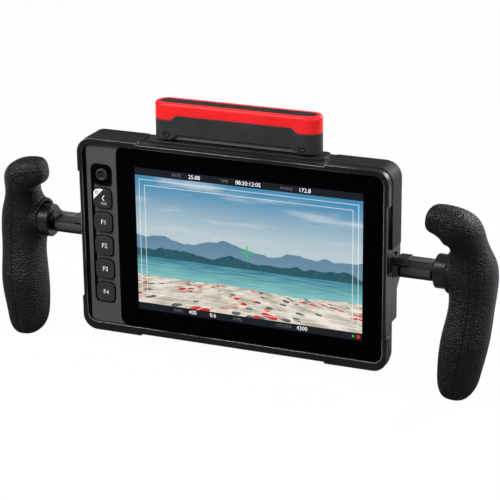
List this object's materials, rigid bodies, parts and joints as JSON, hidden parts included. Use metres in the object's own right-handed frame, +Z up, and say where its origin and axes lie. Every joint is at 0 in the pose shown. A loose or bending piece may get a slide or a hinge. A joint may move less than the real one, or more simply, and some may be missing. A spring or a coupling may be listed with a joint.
{
  "type": "camera field monitor",
  "caption": "Hand-held camera field monitor: touchscreen with side keys and joystick, wireless receiver on top, and a swivelling rubber grip on a post at each side.",
  "frame": {"origin": "mouth of the quarter-inch thread in the middle of the casing's underside", "axes": "+X to the viewer's right along the posts, +Y away from the viewer, +Z up"},
  "size_m": [0.333, 0.0401, 0.1637],
  "materials": {
    "casing_black": "fine matt coating",
    "frame_grey": "fine matt coating",
    "glass_black": "gloss",
    "screen": "lit picture",
    "plastic_black": "matt",
    "plastic_grey": "matt",
    "plastic_red": "satin",
    "rubber_black": "matt",
    "grip_rubber": "pebble grain",
    "anodised_black": "black anodised",
    "bare_aluminium": "satin",
    "steel": "satin",
    "black_steel": "black oxide",
    "brass_plated": "bright",
    "circuit_board": "matt"
  },
  "bodies": {
    "monitor": {"front_frame": "frame_grey", "front_plate": "frame_grey", "cover_glass": "glass_black", "lcd_panel": "screen", "backlight_tray": "bare_aluminium", "main_board": "circuit_board", "board_standoffs": "brass_plated", "heat_spreader": "bare_aluminium", "bumper_top_right": "rubber_black", "bumper_top_left": "rubber_black", "rear_cover": "casing_black", "rear_screws": "black_steel", "tripod_insert": "steel", "coax_jacks": "steel", "power_socket": "steel", "video_socket": "steel", "fan_housing": "plastic_black", "key_web": "frame_grey", "key_mat": "rubber_black", "key_board": "circuit_board", "joystick_gate": "plastic_black", "joystick_housing": "plastic_black", "receiver_plate": "casing_black", "receiver_neck": "casing_black", "receiver_shell": "plastic_black", "receiver_screws": "black_steel", "receiver_cap": "plastic_red", "receiver_inlay": "plastic_grey", "aerial_board": "circuit_board", "aerials": "brass_plated", "receiver_connector": "plastic_black", "battery_plate": "plastic_black", "battery_contacts": "brass_plated", "side_socket_left": "steel", "post_left": "anodised_black", "grip_bolt_left": "steel", "side_socket_right": "steel", "post_right": "anodised_black", "grip_bolt_right": "steel"},
    "joystick_press": {"joystick_carrier": "plastic_grey"},
    "joystick_ring": {"joystick_gimbal": "plastic_grey"},
    "joystick": {"joystick_stick": "plastic_black"},
    "fan": {"fan_rotor": "plastic_black"},
    "latch": {"battery_latch": "plastic_grey"},
    "key_back": {"key_back": "plastic_black"},
    "key_f1": {"key_f1": "plastic_black"},
    "key_f2": {"key_f2": "plastic_black"},
    "key_f3": {"key_f3": "plastic_black"},
    "key_f4": {"key_f4": "plastic_black"},
    "collar_left": {"lock_collar_left": "anodised_black"},
    "handle_left": {"grip_core_left": "bare_aluminium", "grip_left": "grip_rubber"},
    "collar_right": {"lock_collar_right": "anodised_black"},
    "handle_right": {"grip_core_right": "bare_aluminium", "grip_right": "grip_rubber"}
  },
  "joints": [
    {"name": "key_back_press", "type": "slide", "parent": "monitor", "child": "key_back", "axis": [0, 1, 0], "range_m": [0, 0.0008], "stiffness_N_per_m": 2500},
    {"name": "key_f1_press", "type": "slide", "parent": "monitor", "child": "key_f1", "axis": [0, 1, 0], "range_m": [0, 0.0008], "stiffness_N_per_m": 2500},
    {"name": "key_f2_press", "type": "slide", "parent": "monitor", "child": "key_f2", "axis": [0, 1, 0], "range_m": [0, 0.0008], "stiffness_N_per_m": 2500},
    {"name": "key_f3_press", "type": "slide", "parent": "monitor", "child": "key_f3", "axis": [0, 1, 0], "range_m": [0, 0.0008], "stiffness_N_per_m": 2500},
    {"name": "key_f4_press", "type": "slide", "parent": "monitor", "child": "key_f4", "axis": [0, 1, 0], "range_m": [0, 0.0008], "stiffness_N_per_m": 2500},
    {"name": "joystick_press_slide", "type": "slide", "parent": "monitor", "child": "joystick_press", "axis": [0, 1, 0], "range_m": [0, 0.0005], "stiffness_N_per_m": 5000},
    {"name": "joystick_up_down", "type": "hinge", "parent": "joystick_press", "child": "joystick_ring", "pos_m": [-0.0875, -0.0035, 0.10365], "axis": [1, 0, 0], "range_deg": [-7, 7], "stiffness_Nm_per_rad": 0.02},
    {"name": "joystick_left_right", "type": "hinge", "parent": "joystick_ring", "child": "joystick", "pos_m": [-0.0875, -0.0035, 0.10365], "axis": [0, 0, 1], "range_deg": [-7, 7], "stiffness_Nm_per_rad": 0.02},
    {"name": "fan_spin", "type": "hinge", "parent": "monitor", "child": "fan", "pos_m": [-0.056, 0.006, 0.091], "axis": [0, 1, 0], "continuous": true},
    {"name": "latch_slide", "type": "slide", "parent": "monitor", "child": "latch", "axis": [0, 0, -1], "range_m": [0, 0.003], "stiffness_N_per_m": 800},
    {"name": "collar_turn_left", "type": "hinge", "parent": "monitor", "child": "collar_left", "pos_m": [-0.132, 0.0015, 0.0643], "axis": [1, 0, 0], "continuous": true},
    {"name": "grip_swivel_left", "type": "hinge", "parent": "monitor", "child": "handle_left", "pos_m": [-0.145, 0.0015, 0.0643], "axis": [1, 0, 0], "continuous": true},
    {"name": "collar_turn_right", "type": "hinge", "parent": "monitor", "child": "collar_right", "pos_m": [0.132, 0.0015, 0.0643], "axis": [1, 0, 0], "continuous": true},
    {"name": "grip_swivel_right", "type": "hinge", "parent": "monitor", "child": "handle_right", "pos_m": [0.145, 0.0015, 0.0643], "axis": [1, 0, 0], "continuous": true}
  ]
}
